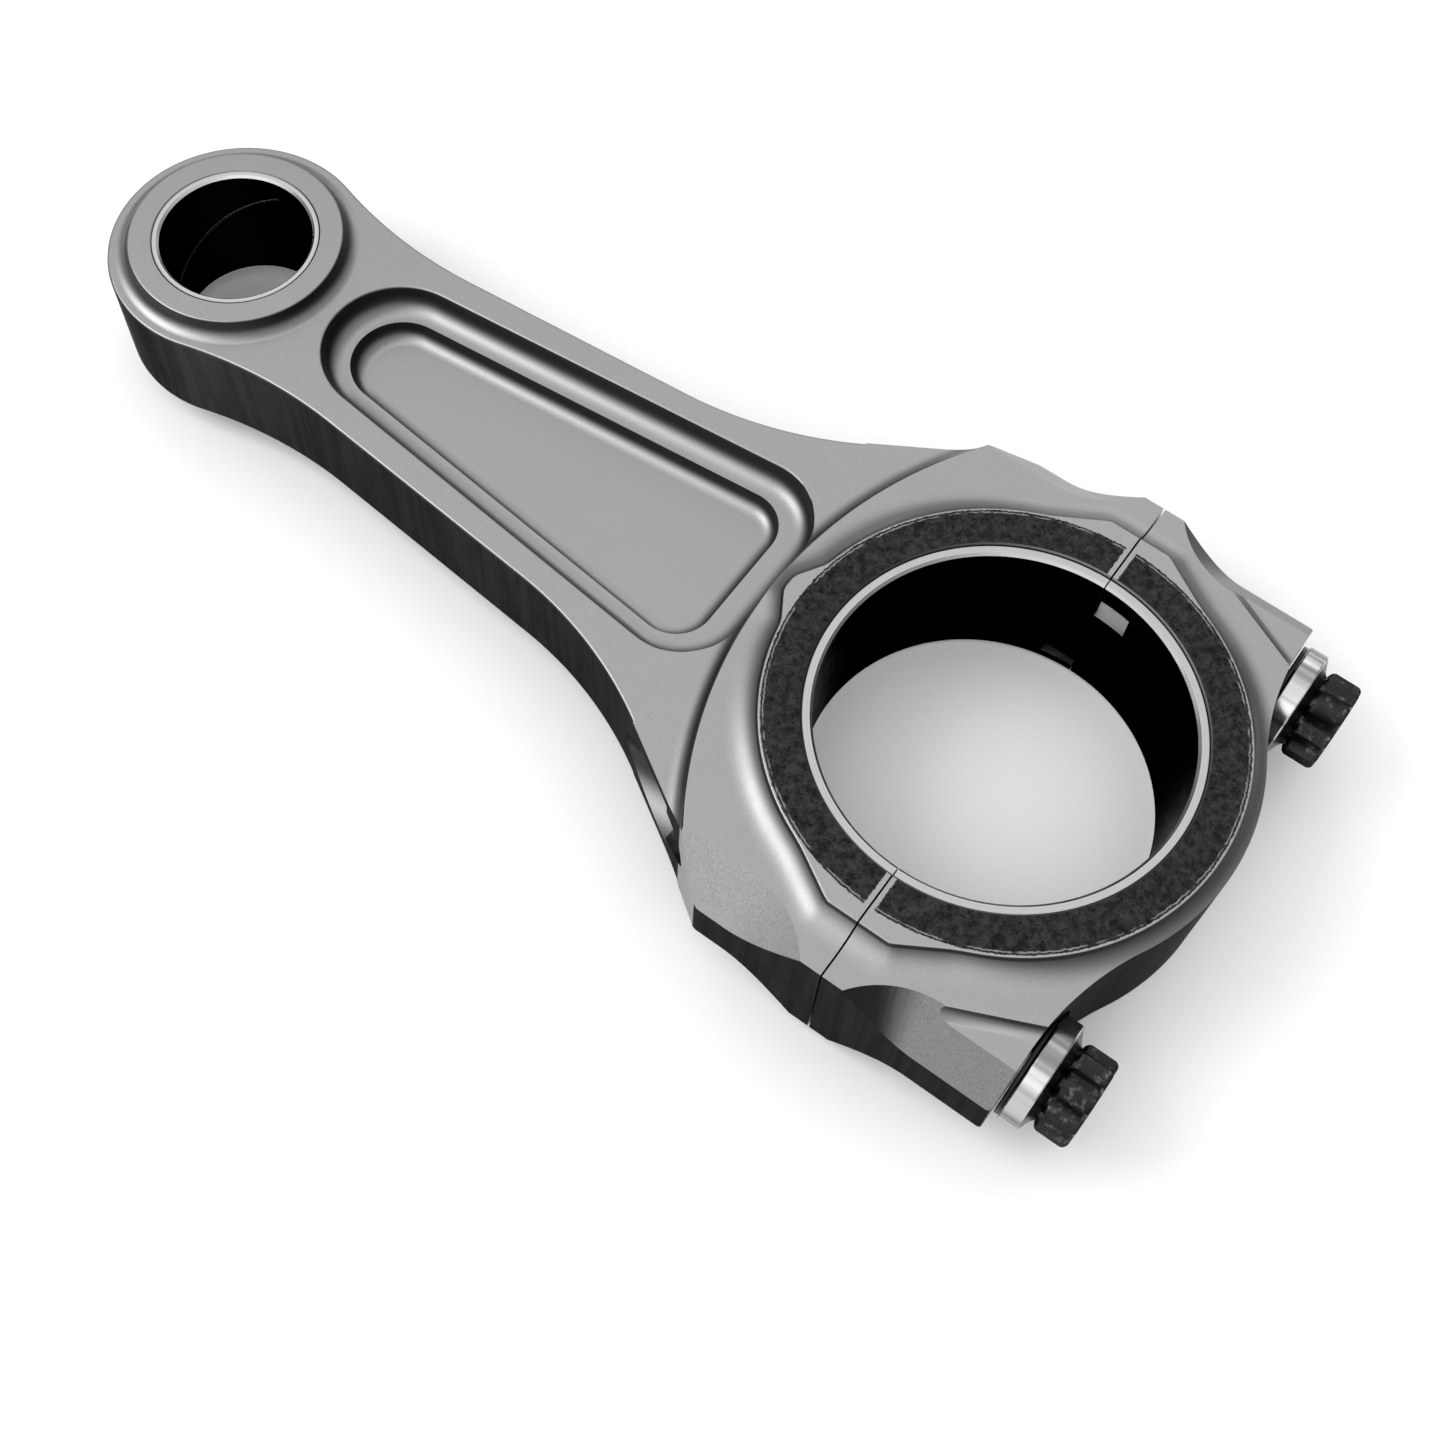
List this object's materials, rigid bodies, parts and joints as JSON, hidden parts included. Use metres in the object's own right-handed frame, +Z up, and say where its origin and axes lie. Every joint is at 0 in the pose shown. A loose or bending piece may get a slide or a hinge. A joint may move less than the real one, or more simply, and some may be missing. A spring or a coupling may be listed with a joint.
{
  "type": "connecting rod",
  "caption": "Racing-engine connecting rod with a pocketed shank, a bushed small end and a bolted cap that clamps split bearing shells.",
  "frame": {"origin": "middle of the rod's outline in plan, at the height of the surface it lies on", "axes": "+X along the rod from the small end to the cap, +Y across the rod, +Z up along the bores"},
  "size_m": [0.1554, 0.0696, 0.021],
  "materials": {
    "rod_titanium": "satin shot-peened and machined titanium",
    "cap_titanium": "satin shot-peened and machined titanium",
    "bearing_shell": "bright steel back with a dark plated running face",
    "bush": "fine-bored dark bronze",
    "bolt_steel": "ground flange, blackened head",
    "washer": "blackened steel"
  },
  "bodies": {
    "rod": {"rod_body": "rod_titanium", "upper_bearing_shell": "bearing_shell", "small_end_bush": "bush"},
    "cap": {"big_end_cap": "cap_titanium", "lower_bearing_shell": "bearing_shell"},
    "washer_left": {"bolt_washer_left": "washer"},
    "bolt_left": {"cap_bolt_left": "bolt_steel"},
    "washer_right": {"bolt_washer_right": "washer"},
    "bolt_right": {"cap_bolt_right": "bolt_steel"}
  },
  "joints": [
    {"name": "cap_removal", "type": "slide", "parent": "rod", "child": "cap", "axis": [1, 0, 0], "range_m": [0, 0.06]},
    {"name": "left_bolt_travel", "type": "slide", "parent": "cap", "child": "washer_left", "axis": [1, 0, 0], "range_m": [0, 0.0213]},
    {"name": "left_bolt_screw", "type": "hinge", "parent": "washer_left", "child": "bolt_left", "pos_m": [0.0704, 0.027, 0.0105], "axis": [1, 0, 0], "range_deg": [0, 6120]},
    {"name": "right_bolt_travel", "type": "slide", "parent": "cap", "child": "washer_right", "axis": [1, 0, 0], "range_m": [0, 0.0213]},
    {"name": "right_bolt_screw", "type": "hinge", "parent": "washer_right", "child": "bolt_right", "pos_m": [0.0704, -0.027, 0.0105], "axis": [1, 0, 0], "range_deg": [0, 6120]}
  ],
  "couplings": [
    {"joint": "left_bolt_travel", "follows": "left_bolt_screw", "m_per_rad": 0.00019894},
    {"joint": "right_bolt_travel", "follows": "right_bolt_screw", "m_per_rad": 0.00019894}
  ]
}
